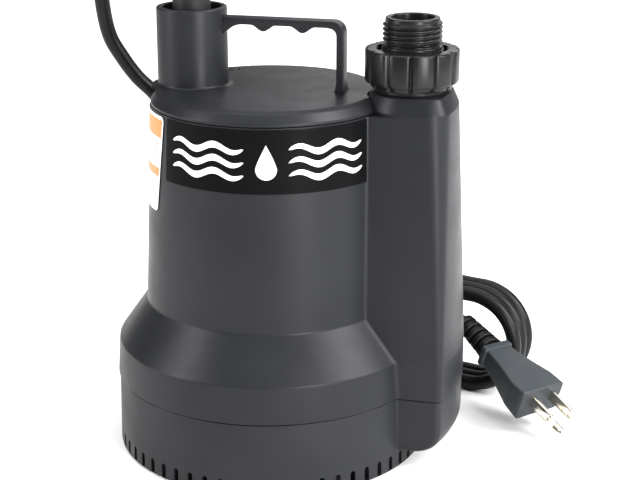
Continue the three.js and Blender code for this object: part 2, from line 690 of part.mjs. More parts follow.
add('cord_hank', hank(), FINISH.cord);
add('hank_tie', hankTie(), FINISH.rubber);
add('power_cord_tail', bar(TAIL, CORD_RADIUS, 5, 12), FINISH.cord);

add('plug_strain_relief', plugFrame(turned([
  [0, -RELIEF_LENGTH], [4.6, -RELIEF_LENGTH], [6.1, -4], [6.1, -GAP], [0, -GAP],
], 16).rotate([0, 90, 0])), FINISH.cord);
add('plug_body', plugBody(), FINISH.plug);
add('plug_blade_line', plugPin(-6.35, 2.5, 0.75, 3.1, 18), FINISH.brass);
add('plug_blade_neutral', plugPin(6.35, 2.5, 0.75, 3.1, 18), FINISH.brass);
add('plug_ground_pin', plugPin(0, -4.5, 2.4, 2.4, 21), FINISH.brass);

export default nodes;
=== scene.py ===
# Looks of a submersible sump pump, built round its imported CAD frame.
# Lengths are written in millimetres and turned to metres when a mesh is made. The cord's
# LEAD and TAIL, the floor and the lamps are in metres.
# +Z is up, +X points at the discharge column, and the pump axis meets the floor at 0.

import math

import bmesh
import bpy
from mathutils import Matrix, Vector


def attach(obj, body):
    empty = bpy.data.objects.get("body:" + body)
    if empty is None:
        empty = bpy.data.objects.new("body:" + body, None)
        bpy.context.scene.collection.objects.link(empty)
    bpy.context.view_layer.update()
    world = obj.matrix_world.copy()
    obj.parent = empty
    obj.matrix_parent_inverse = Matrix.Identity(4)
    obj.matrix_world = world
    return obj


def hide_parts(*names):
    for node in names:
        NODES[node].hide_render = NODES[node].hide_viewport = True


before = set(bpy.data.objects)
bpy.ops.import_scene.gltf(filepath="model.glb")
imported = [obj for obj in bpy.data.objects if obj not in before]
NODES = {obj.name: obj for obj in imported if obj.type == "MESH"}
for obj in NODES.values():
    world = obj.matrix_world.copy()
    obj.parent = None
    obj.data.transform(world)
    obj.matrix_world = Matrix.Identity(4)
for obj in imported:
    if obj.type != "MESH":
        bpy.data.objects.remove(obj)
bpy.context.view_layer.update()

MM = 0.001
TAU = math.tau

# ---------------------------------------------------------------- camera

camera_data = bpy.data.cameras.new("camera")
camera = bpy.data.objects.new("camera", camera_data)
bpy.context.scene.collection.objects.link(camera)
camera_data.sensor_width = 36
camera_data.lens = 84.375
camera_data.clip_start = 0.01
camera_data.clip_end = 50
camera.location = Vector((187.6, -659.4, 323.9)) * MM
camera.rotation_mode = "QUATERNION"
camera.rotation_quaternion = Vector((-0.2285, 0.9222, -0.312)).to_track_quat("-Z", "Y")
bpy.context.scene.camera = camera

# ---------------------------------------------------------------- materials


class Graph:
    """A material's node tree, with short ways to add and join its nodes."""

    def __init__(self, name):
        self.material = bpy.data.materials.new(name)
        self.material.use_nodes = True
        self.tree = self.material.node_tree
        self.shader = self.tree.nodes["Principled BSDF"]
        self.place = self.add("ShaderNodeTexCoord").outputs["Object"]

    def add(self, kind, **settings):
        node = self.tree.nodes.new(kind)
        for key, value in settings.items():
            setattr(node, key, value)
        return node

    def join(self, source, target):
        self.tree.links.new(source, target)

    def noise(self, scale, detail=4.0, stretch=(1, 1, 1), roughness=0.55):
        mapping = self.add("ShaderNodeMapping")
        mapping.inputs["Scale"].default_value = stretch
        self.join(self.place, mapping.inputs["Vector"])
        texture = self.add("ShaderNodeTexNoise")
        texture.inputs["Scale"].default_value = scale
        texture.inputs["Detail"].default_value = detail
        texture.inputs["Roughness"].default_value = roughness
        self.join(mapping.outputs["Vector"], texture.inputs["Vector"])
        return texture.outputs["Fac"]

    def spread(self, source, low, high, start=0.3, end=0.7):
        node = self.add("ShaderNodeMapRange")
        node.inputs["From Min"].default_value = start
        node.inputs["From Max"].default_value = end
        node.inputs["To Min"].default_value = low
        node.inputs["To Max"].default_value = high
        self.join(source, node.inputs["Value"])
        return node.outputs["Result"]

    def blend(self, factor, first, second):
        node = self.add("ShaderNodeMix", data_type="RGBA")
        self.join(factor, node.inputs["Factor"])
        for socket, value in ((node.inputs["A"], first), (node.inputs["B"], second)):
            if isinstance(value, tuple):
                socket.default_value = (*value, 1)
            else:
                self.join(value, socket)
        return node.outputs["Result"]

    def bump(self, height, strength, distance, under=None):
        node = self.add("ShaderNodeBump")
        node.inputs["Strength"].default_value = strength
        node.inputs["Distance"].default_value = distance * MM
        self.join(height, node.inputs["Height"])
        if under is not None:
            self.join(under, node.inputs["Normal"])
        return node.outputs["Normal"]


def surface(name, dark, light, roughness, grain, depth, patch=22.0, metal=0.0, gloss=0.5):
    """A moulded or machined surface: patches of tone, varied gloss and a fine grain.

    grain is the number of bumps in a metre, depth their height in millimetres, and gloss
    the level of the specular reflection, where 0.5 is plain plastic.
    """
    g = Graph(name)
    patches = g.noise(patch, 5)
    g.join(g.blend(g.spread(patches, 0, 1), dark, light), g.shader.inputs["Base Color"])
    low, high = roughness
    wear = g.noise(patch * 3.1, 6, roughness=0.65)
    g.join(g.spread(wear, low, high), g.shader.inputs["Roughness"])
    fine = g.noise(grain, 3)
    broad = g.bump(g.noise(patch * 2.2, 2), 0.12, 0.25)
    g.join(g.bump(fine, 0.6, depth, broad), g.shader.inputs["Normal"])
    g.shader.inputs["Metallic"].default_value = metal
    g.shader.inputs["Specular IOR Level"].default_value = gloss
    return g.material


PLASTIC = surface(
    "moulded_plastic", (0.0085, 0.009, 0.0105), (0.012, 0.0126, 0.0146), (0.34, 0.44), 1500, 0.035,
    gloss=0.16)
BASE_PLASTIC = surface(
    "base_plastic", (0.01, 0.0106, 0.012), (0.0136, 0.0142, 0.0162), (0.36, 0.48), 1300, 0.045,
    gloss=0.16)
GLOSS_PLASTIC = surface(
    "gloss_plastic", (0.005, 0.005, 0.0055), (0.0075, 0.0075, 0.008), (0.26, 0.34), 900, 0.012,
    gloss=0.2)
LABEL_BLACK = surface(
    "label_film", (0.0022, 0.0024, 0.0026), (0.0034, 0.0036, 0.0038), (0.3, 0.4), 500, 0.006,
    gloss=0.03)
LABEL_PRINT = surface(
    "label_print", (0.78, 0.78, 0.77), (0.86, 0.86, 0.85), (0.25, 0.35), 700, 0.005)
STICKER_WHITE = surface(
    "sticker_film", (0.74, 0.73, 0.73), (0.83, 0.82, 0.82), (0.28, 0.4), 700, 0.008)
STICKER_ORANGE = surface(
    "sticker_orange", (0.86, 0.15, 0.012), (0.93, 0.2, 0.02), (0.28, 0.4), 700, 0.008)
STICKER_GREY = surface(
    "sticker_grey", (0.28, 0.28, 0.3), (0.36, 0.36, 0.38), (0.3, 0.42), 700, 0.008)
CORD_RUBBER = surface(
    "cord_rubber", (0.004, 0.004, 0.0045), (0.007, 0.007, 0.0075), (0.32, 0.44), 800, 0.03,
    gloss=0.15)
BOOT_RUBBER = surface(
    "boot_rubber", (0.009, 0.009, 0.01), (0.014, 0.014, 0.015), (0.4, 0.55), 900, 0.03,
    gloss=0.18)
PLUG_RUBBER = surface(
    "plug_rubber", (0.025, 0.029, 0.033), (0.034, 0.039, 0.043), (0.42, 0.55), 1400, 0.03,
    gloss=0.18)
SEAL_RUBBER = surface(
    "seal_rubber", (0.012, 0.012, 0.012), (0.02, 0.02, 0.02), (0.5, 0.7), 1000, 0.03)
BLADE_METAL = surface(
    "plated_blade", (0.66, 0.61, 0.52), (0.8, 0.76, 0.68), (0.16, 0.3), 1200, 0.006, metal=1)
STEEL = surface(
    "steel", (0.48, 0.49, 0.5), (0.62, 0.63, 0.64), (0.25, 0.42), 1500, 0.01, metal=1)
IRON = surface(
    "laminations", (0.12, 0.12, 0.13), (0.2, 0.2, 0.21), (0.45, 0.65), 900, 0.05, metal=0.8)
COPPER = surface(
    "copper_wire", (0.5, 0.2, 0.08), (0.66, 0.3, 0.13), (0.25, 0.4), 700, 0.15, metal=1)
NYLON = surface(
    "nylon", (0.62, 0.59, 0.5), (0.72, 0.69, 0.61), (0.4, 0.55), 900, 0.03)
TIE_FILM = surface(
    "tie_film", (0.015, 0.015, 0.016), (0.024, 0.024, 0.026), (0.3, 0.5), 600, 0.05)

# ---------------------------------------------------------------- mesh tools


def add_piece(name, parts, material, body="pump", replaces=(), angle=35, bevel=None):
    """Makes one object from (points, faces) parts, shades it, and seats it on a body."""
    points = []
    faces = []
    for part_points, part_faces in parts:
        start = len(points)
        points += [Vector(p) * MM for p in part_points]
        faces += [[start + i for i in face] for face in part_faces]
    mesh = bpy.data.meshes.new(name)
    mesh.from_pydata(points, [], faces)
    work = bmesh.new()
    work.from_mesh(mesh)
    bmesh.ops.remove_doubles(work, verts=work.verts, dist=1e-7)
    bmesh.ops.recalc_face_normals(work, faces=work.faces)
    work.to_mesh(mesh)
    work.free()
    piece = bpy.data.objects.new(name, mesh)
    bpy.context.scene.collection.objects.link(piece)
    if bevel:
        soften(piece, bevel)
    finish_mesh(piece, material, angle)
    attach(piece, body)
    if replaces:
        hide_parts(*replaces)
    return piece


def finish_mesh(piece, material, angle):
    piece.data.materials.clear()
    piece.data.materials.append(material)
    piece.data.shade_smooth()
    piece.data.set_sharp_from_angle(angle=math.radians(angle))


def bake(piece):
    """Keeps what the modifiers make as the piece's own mesh."""
    graph = bpy.context.evaluated_depsgraph_get()
    made = bpy.data.meshes.new_from_object(piece.evaluated_get(graph))
    piece.modifiers.clear()
    piece.data = made


def soften(piece, width, segments=3, angle=50):
    edge = piece.modifiers.new("edge", "BEVEL")
    edge.width = width * MM
    edge.segments = segments
    edge.limit_method = "ANGLE"
    edge.angle_limit = math.radians(angle)
    bpy.context.view_layer.update()
    bake(piece)


def carve(piece, parts, material, angle=35):
    """Cuts closed (points, faces) parts out of a piece."""
    tool = add_piece("tool", parts, material)
    cutter = piece.modifiers.new("cut", "BOOLEAN")
    cutter.operation = "DIFFERENCE"
    cutter.solver = "EXACT"
    cutter.object = tool
    bpy.context.view_layer.update()
    bake(piece)
    bpy.data.objects.remove(tool)
    finish_mesh(piece, material, angle)


def rounded(corners, steps=6):
    """A line through 2-D corners (a, b) or (a, b, radius), with those corners rounded."""
    out = []
    for i, corner in enumerate(corners):
        here = Vector(corner[:2])
        if len(corner) < 3 or i in (0, len(corners) - 1):
            out.append(tuple(here))
            continue
        before = Vector(corners[i - 1][:2]) - here
        after = Vector(corners[i + 1][:2]) - here
        half = before.angle(after) / 2
        reach = min(corner[2] / math.tan(half), 0.48 * before.length, 0.48 * after.length)
        radius = reach * math.tan(half)
        start = here + before.normalized() * reach
        end = here + after.normalized() * reach
        centre = here + (before.normalized() + after.normalized()).normalized() * (
            radius / math.sin(half))
        first = start - centre
        sweep = first.angle_signed(end - centre)
        for k in range(steps + 1):
            turn = Matrix.Rotation(-sweep * k / steps, 2)
            out.append(tuple(centre + turn @ first))
    return out


def lathe(profile, segments=96, x=0.0, y=0.0, closed=False):
    """Turns (radius, height) points about a vertical axis through (x, y)."""
    points = []
    for radius, z in profile:
        for k in range(segments):
            a = TAU * k / segments
            points.append((x + radius * math.cos(a), y + radius * math.sin(a), z))
    rows = len(profile)
    faces = []
    for row in range(rows if closed else rows - 1):
        low = row * segments
        high = ((row + 1) % rows) * segments
        for k in range(segments):
            n = (k + 1) % segments
            faces.append((low + k, low + n, high + n, high + k))
    return points, faces


def loft(rows, caps=True):
    """Skins closed rings of 3-D points that all have the same count."""
    count = len(rows[0])
    points = [p for row in rows for p in row]
    faces = []
    for level in range(len(rows) - 1):
        low = level * count
        high = low + count
        for k in range(count):
            n = (k + 1) % count
            faces.append((low + k, low + n, high + n, high + k))
    if caps:
        top = (len(rows) - 1) * count
        faces.append(tuple(reversed(range(count))))
        faces.append(tuple(range(top, top + count)))
    return points, faces


def arc(cx, cy, radius, start, end, steps):
    return [
        (cx + radius * math.cos(start + (end - start) * k / steps),
         cy + radius * math.sin(start + (end - start) * k / steps))
        for k in range(steps + 1)]


def mix(a, b, t):
    return a + (b - a) * t


def smooth_route(points, step=1.6):
    """Closely spaced points on the centripetal curve through a given route."""
    route = [Vector(p) for p in points]
    route = [route[0] * 2 - route[1]] + route + [route[-1] * 2 - route[-2]]
    out = []
    for i in range(1, len(route) - 2):
        p0, p1, p2, p3 = route[i - 1:i + 3]
        t1 = (p1 - p0).length ** 0.5
        t2 = t1 + (p2 - p1).length ** 0.5
        t3 = t2 + (p3 - p2).length ** 0.5
        pieces = max(2, round((p2 - p1).length / step))
        for k in range(pieces):
            t = mix(t1, t2, k / pieces)
            a1 = p0.lerp(p1, t / t1)
            a2 = p1.lerp(p2, (t - t1) / (t2 - t1))
            a3 = p2.lerp(p3, (t - t2) / (t3 - t2))
            b1 = a1.lerp(a2, t / t2)
            b2 = a2.lerp(a3, (t - t1) / (t3 - t1))
            out.append(b1.lerp(b2, (t - t1) / (t2 - t1)))
    out.append(route[-2])
    return out


# ---------------------------------------------------------------- cord

CORD = 3.8
LEAD = [
    (-0.0371, 0, 0.228), (-0.0371, 0, 0.2363), (-0.0371, 0, 0.244),
    (-0.0394, 0.0015, 0.2578), (-0.046, 0.0057, 0.2695), (-0.0558, 0.0121, 0.2774),
    (-0.0674, 0.0196, 0.27998), (-0.079, 0.0271, 0.2774), (-0.0888, 0.0335, 0.2695),
    (-0.0954, 0.0377, 0.2578), (-0.0976, 0.0392, 0.244), (-0.0978, 0.0394, 0.224),
    (-0.0976, 0.0399, 0.2044), (-0.0954, 0.043, 0.1858), (-0.0908, 0.046, 0.1753),
    (-0.0847, 0.05, 0.1645), (-0.0776, 0.0545, 0.1555), (-0.0715, 0.0605, 0.144),
    (-0.0675, 0.0665, 0.13), (-0.0645, 0.073, 0.1145), (-0.061, 0.08, 0.099),
    (-0.0555, 0.087, 0.0845), (-0.0475, 0.0936, 0.0725), (-0.0375, 0.0988, 0.0645),
]
TAIL = [
    (0.0455, 0.0933, 0.0382), (0.0567, 0.0888, 0.0382), (0.0666, 0.0837, 0.0383),
    (0.0753, 0.0776, 0.0384), (0.0826, 0.0698, 0.0386), (0.0878, 0.0645, 0.0379),
    (0.094, 0.0586, 0.035),
]
PLUG_REAR = Vector((102.2, 51, 31))
PLUG_FRONT = Vector((129.7, 25.3, 17.5))

HANK_TURN = math.radians(16)
HANK_LEFT = -124.5
HANK_RIGHT = 93.5
HANK_NEAR = 88.7
HANK_LOW = 0.2
HANK_RADIUS = 28.5
LAYER = 6.67


def on_hank(along, across, z):
    """A point given along and across the hank, in the pump's own axes."""
    c = math.cos(HANK_TURN)
    s = math.sin(HANK_TURN)
    return (along * c + across * s, -along * s + across * c, z)


def hank_turns():
    """Three turns and part of a fourth, heading right along the top and back along the floor.

    The three turns lie side by side. The last strand runs in the hollow under two of them,
    goes through the tie, then drops away from the rest into the hank's opening.
    """
    strands = [(0, 1), (0, 3), (0, 5), (0.45, 4)]
    left = HANK_LEFT + HANK_RADIUS
    right = HANK_RIGHT - HANK_RADIUS
    middle = HANK_LOW + HANK_RADIUS
    out = [on_hank(-36, 90.8, 56.3)]
    for (layer, place), following in zip(strands, strands[1:]):
        radius = HANK_RADIUS - CORD - layer * LAYER
        next_radius = HANK_RADIUS - CORD - following[0] * LAYER
        across = HANK_NEAR + place * CORD
        next_across = HANK_NEAR + following[1] * CORD
        if (layer, place) != strands[0]:
            out += [on_hank(along, across, middle + radius) for along in (left + 14, -44)]
        out += [on_hank(along, across, middle + radius) for along in (-8, 24, right - 8)]
        for k in range(7):
            a = math.pi / 2 - math.pi * (k + 0.5) / 7
            out.append(on_hank(right + radius * math.cos(a), across, middle + radius * math.sin(a)))
        out += [
            on_hank(along, across, middle - radius) for along in (right - 8, 24, -8, -44, left + 14)]
        for k in range(7):
            part = (k + 0.5) / 7
            a = -math.pi / 2 - math.pi * part
            r = mix(radius, next_radius, part)
            out.append(on_hank(
                left + r * math.cos(a), mix(across, next_across, part), middle + r * math.sin(a)))
    hollow = middle + HANK_RADIUS - CORD - LAYER
    last_run = [
        (left + 14, middle + next_radius), (-60, hollow + 1.8), (-40, hollow + 0.2),
        (-22, hollow), (-9, hollow - 0.5), (4, hollow - 4.2)]
    for along, z in last_run:
        out.append(on_hank(along, next_across, z))
    return out


lead_mm = [Vector(p) / MM for p in LEAD]
tail_mm = [Vector(p) / MM for p in TAIL]
route = smooth_route(lead_mm + hank_turns() + tail_mm)
cord_curve = bpy.data.curves.new("power_cord", "CURVE")
cord_curve.dimensions = "3D"
cord_curve.bevel_depth = CORD * MM
cord_curve.bevel_resolution = 5
cord_curve.use_fill_caps = True
spline = cord_curve.splines.new("POLY")
spline.points.add(len(route) - 1)
for target, point in zip(spline.points, route):
    target.co = (*(point * MM), 1)
cord_curve.materials.append(CORD_RUBBER)
cord = bpy.data.objects.new("power_cord", cord_curve)
bpy.context.scene.collection.objects.link(cord)
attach(cord, "pump")
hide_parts("power_cord_lead", "cord_hank", "power_cord_tail")

# ---------------------------------------------------------------- plug

plug_along = (PLUG_FRONT - PLUG_REAR).normalized()
plug_side = Vector((0, 0, 1)).cross(plug_along).normalized()
plug_up = plug_along.cross(plug_side)
PLUG_LENGTH = (PLUG_FRONT - PLUG_REAR).length


def on_plug(x, y, z):
    """A point along, across and above the plug's own axis, in the pump's axes."""
    return tuple(PLUG_REAR + plug_along * x + plug_side * y + plug_up * z)


def placed(part):
    points, faces = part
    return [on_plug(*p) for p in points], faces


def plug_section(x, half_width, half_height, corner=1.6):
    outline = []
    for sy, sz, start in ((1, 1, 0), (-1, 1, 1), (-1, -1, 2), (1, -1, 3)):
        cy = sy * (half_width - corner)
        cz = sz * (half_height - corner)
        outline += arc(cy, cz, corner, start * math.pi / 2, (start + 1) * math.pi / 2, 5)
    return [(x, y, z) for y, z in outline]


def plug_shape():
    """A flat fan: a raised collar behind, narrow sides, and a broad face to the front."""
    rows = [
        plug_section(0.4, 7.3, 4.6), plug_section(0, 7.9, 5.2), plug_section(0.3, 8.5, 5.8),
        plug_section(3.4, 8.8, 6.1), plug_section(3.8, 8.4, 5.7), plug_section(4.1, 7.6, 5.1),
    ]
    for k in range(15):
        t = k / 14
        x = mix(4.6, PLUG_LENGTH - 0.6, t)
        width = 7.7 + 5.2 * min(1.0, t / 0.72) ** 1.35 + 0.2 * max(0.0, t - 0.72)
        rows.append(plug_section(x, width, mix(5.2, 8.4, t ** 1.1), mix(1.4, 1.2, t)))
    rows.append(plug_section(PLUG_LENGTH - 0.1, 12.7, 8.1, 1.1))
    rows.append(plug_section(PLUG_LENGTH, 12.1, 7.5, 0.9))
    return loft(rows)


add_piece("plug_shell", [placed(plug_shape())], PLUG_RUBBER, replaces=["plug_body"])


def relief_shape():
    """A ribbed sleeve, tapering back along the cord, its ribs joined by narrow webs."""
    rings = []
    profile = [(-25, 4.0), (-24.6, 4.5)]
    for k in range(5):
        start = -24.6 + 4.9 * k
        rib = mix(5.2, 6.7, k / 4)
        neck = mix(4.0, 4.3, k / 4)
        profile += [
            (start + 0.1, rib - 0.3), (start + 0.4, rib), (start + 2.9, rib + 0.2),
            (start + 3.2, rib - 0.1), (start + 3.3, neck), (start + 4.7, neck)]
    profile.append((-0.1, 5.2))
    for x, radius in profile:
        ring = []
        for k in range(32):
            a = TAU * k / 32
            flat = 1 + 0.1 * math.cos(2 * a)
            ring.append((x, radius * flat * math.cos(a), radius * 0.92 * math.sin(a)))
        rings.append(ring)
    return loft(rings)


relief = add_piece(
    "plug_relief", [placed(relief_shape())], CORD_RUBBER,
    replaces=["plug_strain_relief"])


def blade_shape(y, z, half_y, half_z, length):
    """A flat blade with a tapered, rounded tip."""
    rows = []
    for x, share in ((PLUG_LENGTH - 2, 1), (PLUG_LENGTH + length - 3.2, 1),
                     (PLUG_LENGTH + length - 1.2, 0.86), (PLUG_LENGTH + length, 0.55)):
        thin = half_y * (0.55 if share < 0.6 else 1)
        rows.append([
            (x, y - thin, z - half_z * share), (x, y + thin, z - half_z * share),
            (x, y + thin, z + half_z * share), (x, y - thin, z + half_z * share)])
    return loft(rows)


def blade_hole(y, z, length):
    x = PLUG_LENGTH + length - 5
    rows = []
    for across in (-3, 3):
        rows.append([
            (x + 1.6 * math.cos(TAU * k / 24), y + across, z + 1.6 * math.sin(TAU * k / 24))
            for k in range(24)])
    return loft(rows)


for name, y in (("plug_blade_line", -6.35), ("plug_blade_neutral", 6.35)):
    blade = add_piece(
        name + "_metal", [placed(blade_shape(y, 2.5, 0.75, 3.1, 18))], BLADE_METAL,
        replaces=[name])
    carve(blade, [placed(blade_hole(y, 2.5, 18))], BLADE_METAL)
    soften(blade, 0.16, 2)
    finish_mesh(blade, BLADE_METAL, 35)


def ground_shape():
    """A round bar standing in for the U-bent ground pin, with a domed tip."""
    rows = []
    end = PLUG_LENGTH + 21
    for x, share in ((PLUG_LENGTH - 2, 1), (end - 5, 1), (end - 2.6, 0.93), (end - 1.1, 0.74),
                     (end - 0.3, 0.45), (end, 0.12)):
        rows.append([
            (x, 2.38 * share * math.cos(TAU * k / 28), -4.5 + 2.38 * share * math.sin(TAU * k / 28))
            for k in range(28)])
    return loft(rows)


ground = add_piece(
    "plug_ground_metal", [placed(ground_shape())], BLADE_METAL,
    replaces=["plug_ground_pin"])

# ---------------------------------------------------------------- hank tie


def tie_shape():
    """A soft band round the upper run, its corners rounded, and its two ends twisted."""
    middle = HANK_NEAR + 3 * CORD
    top = HANK_LOW + 2 * HANK_RADIUS
    centre = top - 7.25
    loops = []
    for along in (-21.5, -20.5, -15.5, -14.5):
        edge = 0.45 if along in (-20.5, -15.5) else 0.0
        ring = []
        for k in range(48):
            a = TAU * k / 48
            c = math.cos(a)
            s = math.sin(a)
            wide = 11.9 + edge
            tall = 7.75 + edge
            ring.append(on_hank(
                along, middle + wide * math.copysign(abs(c) ** 0.5, c),
                centre + tall * math.copysign(abs(s) ** 0.5, s)))
        loops.append(ring)
    return loft(loops, caps=False)


def twisted_ends():
    """The tie's two wires, wound round each other where they stand away from the band."""
    parts = []
    base = HANK_LOW + 2 * HANK_RADIUS + 0.3
    for phase in (0, math.pi):
        rows = []
        for k in range(25):
            t = k / 24
            along = -18 + 13 * t
            a = phase + 9 * t
            cy = HANK_NEAR + 3 * CORD + 0.6 * math.cos(a)
            cz = base + 0.55 + 0.4 * math.sin(a)
            rows.append([
                on_hank(along, cy + 0.4 * math.cos(TAU * j / 8), cz + 0.4 * math.sin(TAU * j / 8))
                for j in range(8)])
        parts.append(loft(rows))
    return parts


tie = add_piece(
    "hank_tie_band", [tie_shape(), *twisted_ends()], TIE_FILM,
    replaces=["hank_tie"])

# ---------------------------------------------------------------- body sections

COLUMN_X = 67.1
WIDE = (30, 93.6, 3.5)
NARROW = (21.6, 88.2, 10)
SQUARE_TO = 54
COLUMN_BEVEL = 169


def column_size(z):
    t = min(1.0, max(0.0, (z - SQUARE_TO) / (COLUMN_BEVEL - SQUARE_TO)))
    return [mix(a, b, t) for a, b in zip(WIDE, NARROW)]


def column_end(half, reach, corner, steps=10):
    """The column's outer end, from its -Y side round to its +Y side."""
    cy = half - corner
    cx = math.sqrt((reach - corner) ** 2 - cy ** 2)
    a = math.atan2(cy, cx)
    line = arc(cx, -cy, corner, -math.pi / 2, -a, steps)
    line += arc(0, 0, reach, -a, a, 2 * steps)[1:-1]
    line += arc(cx, cy, corner, a, math.pi / 2, steps)
    return line


def body_ring(z, barrel, size, fillet=2.6, inset=0.0, steps=150):
    """One level of the housing: the round barrel, a fillet each side, and the column."""
    half, reach, corner = size
    half -= inset
    reach -= inset
    fx = math.sqrt((barrel + fillet) ** 2 - (half + fillet) ** 2)
    meet = math.atan2(half + fillet, fx)
    line = arc(0, 0, barrel, meet, TAU - meet, steps)
    line += arc(fx, -(half + fillet), fillet, math.pi - meet, math.pi / 2, 8)[1:]
    line += column_end(half, reach, corner)
    line += arc(fx, half + fillet, fillet, -math.pi / 2, meet - math.pi, 8)[:-1]
    return [(x, y, z) for x, y in line]


def column_ring(z, size, inset=0.0):
    """One level of the column alone, round towards the pump."""
    half, reach, corner = size
    half -= inset
    reach -= inset
    line = arc(COLUMN_X, 0, half, math.pi / 2, math.pi * 1.5, 40)
    line += column_end(half, reach, max(corner - inset, 0.8))
    return [(x, y, z) for x, y in line]


# ---------------------------------------------------------------- main housing

RIM = 167.8
BORE = 12.6
THREAD_PITCH = 2.209
barrel_line = rounded([
    (74.1, 36.15), (75, 36.2, 0.6), (73.9, 53.7, 2.2), (59.9, 73.5, 2.4), (55.35, RIM - 0.3),
    (55.0, RIM - 0.3)], 6)
levels = []
for (r0, z0), (r1, z1) in zip(barrel_line, barrel_line[1:]):
    pieces = max(1, round((z1 - z0) / 5))
    levels += [(mix(r0, r1, k / pieces), mix(z0, z1, k / pieces)) for k in range(pieces)]
levels.append(barrel_line[-1])
rings = [
    body_ring(z, radius, column_size(z), inset=0.8 if k == 0 else 0)
    for k, (radius, z) in enumerate(levels)]

cap_line = rounded([
    (0.03, 163), (0, RIM - 0.35), (0, COLUMN_BEVEL, 2), (3.2, 176, 1.2), (9, 176)], 5)
cap_rings = [column_ring(z, column_size(z), inset) for inset, z in cap_line]


def screw_thread(root, crest, z0, z1, x, pitch=THREAD_PITCH, turns_in=0.6, around=120, flat=0.14):
    """A right-handed thread: one ridge that climbs a pitch a turn and fades at its ends."""
    rows = max(4, round((z1 - z0) / (pitch / 14)))
    points = []
    for row in range(rows + 1):
        z = mix(z0, z1, row / rows)
        for k in range(around):
            a = TAU * k / around
            phase = ((z - z0) / pitch - a / TAU) % 1.0
            side = abs(phase - 0.5) * 2
            ridge = min(1.0, max(0.0, (1 - side - flat) / (1 - 3.2 * flat)))
            turn = (z - z0) / pitch
            left = (z1 - z) / pitch
            fade = min(1.0, max(0.0, turn / turns_in)) * min(1.0, max(0.0, left / turns_in))
            r = root + (crest - root) * ridge * fade
            points.append((x + r * math.cos(a), r * math.sin(a), z))
    faces = []
    for row in range(rows):
        for k in range(around):
            n = (k + 1) % around
            low = row * around
            faces.append((low + k, low + n, low + around + n, low + around + k))
    return points, faces


spigot = lathe(rounded([
    (18.2, 175.9), (15.5, 176.2, 0.5), (15.5, 189, 0.6), (12.6, 189, 0.4), (12.5, 172)], 4),
    96, COLUMN_X)
spigot_thread = screw_thread(15.45, 16.55, 178, 188.4, COLUMN_X)

housing = add_piece(
    "housing_shell", [loft(rings)], PLASTIC, replaces=["main_housing"], angle=32)
column_cap = add_piece("column_cap", [loft(cap_rings)], PLASTIC, angle=32)
for bored in (housing, column_cap):
    carve(bored, [lathe([(0.001, 90), (BORE, 90), (BORE, 180), (0.001, 180)], 64, COLUMN_X)],
          PLASTIC, 32)
add_piece("spigot", [spigot, spigot_thread], PLASTIC)

# ---------------------------------------------------------------- top cover

TOWER_X = -37.1
COVER_TOP = 173.9

plate = lathe(rounded([
    (44, 167.9), (55.25, 167.85, 0.35), (55.15, 169.2, 0.6), (52.6, 173.0, 1.8),
    (50.4, COVER_TOP, 0.6), (30, COVER_TOP), (0.001, COVER_TOP)], 6), 192)
plate_under = lathe([(0.001, 167.9), (44, 167.9)], 192)
cover = add_piece("cover_plate", [plate, plate_under], PLASTIC, angle=32)
PLUG_X, PLUG_Y = -28.5, 35
carve(cover, [
    lathe([(0.001, 160), (20.2, 160), (20.2, 180), (0.001, 180)], 96, COLUMN_X),
    lathe([(0.001, 172.5), (3.7, 172.5), (3.7, 180), (0.001, 180)], 48, PLUG_X, PLUG_Y),
], PLASTIC, 32)

tower = lathe(rounded([
    (19.6, COVER_TOP - 0.1), (18.9, COVER_TOP + 0.02, 0.4), (16.55, COVER_TOP + 0.2, 2.0),
    (16.4, 210.3, 0.7), (13.7, 210.3, 0.5), (13.5, 186, 1.2), (4.3, 186, 0.4), (4.3, 172),
    (19.6, 172)], 6), 96, TOWER_X)

HANDLE_TOP = 206.2
HANDLE_UNDER = 203.2
HANDLE_INNER = 32.7
HANDLE_OUTER = 36.1
HANDLE_HALF = 4


def handle_line():
    """The handle seen from the side, with three finger scallops under its grip."""
    tower_side = TOWER_X + 14.5
    root_end = TOWER_X + 25.5
    line = [(tower_side, HANDLE_TOP), (tower_side, 197.6)]
    x = TOWER_X + 16.2
    while x < HANDLE_INNER - 4:
        under = HANDLE_UNDER
        for bump in (-1.8, 16.8):
            near = abs(x - bump) / 6
            if near < 1:
                under -= 2.9 * math.cos(near * math.pi / 2) ** 2
        if x < root_end:
            under -= 4.6 * ((root_end - x) / 9.3) ** 2
        line.append((x, under))
        x += 0.8
    line += arc(HANDLE_INNER - 3.5, HANDLE_UNDER - 3.7, 3.5, math.pi / 2, 0, 8)
    line += [(HANDLE_INNER - 0.05, 178), (HANDLE_INNER - 0.7, 174.6), (HANDLE_INNER - 1.6, 173.7)]
    line += [(HANDLE_OUTER + 1.6, 173.7), (HANDLE_OUTER + 0.7, 174.6), (HANDLE_OUTER + 0.05, 178)]
    line += arc(HANDLE_OUTER - 5.5, HANDLE_TOP - 5.5, 5.5, 0, math.pi / 2, 10)
    return line


handle_rows = [[(x, y, z) for x, z in handle_line()] for y in (-HANDLE_HALF, HANDLE_HALF)]
add_piece("handle", [loft(handle_rows)], PLASTIC, bevel=0.9, angle=40)
add_piece("cable_tower", [tower], PLASTIC, replaces=["top_cover"])

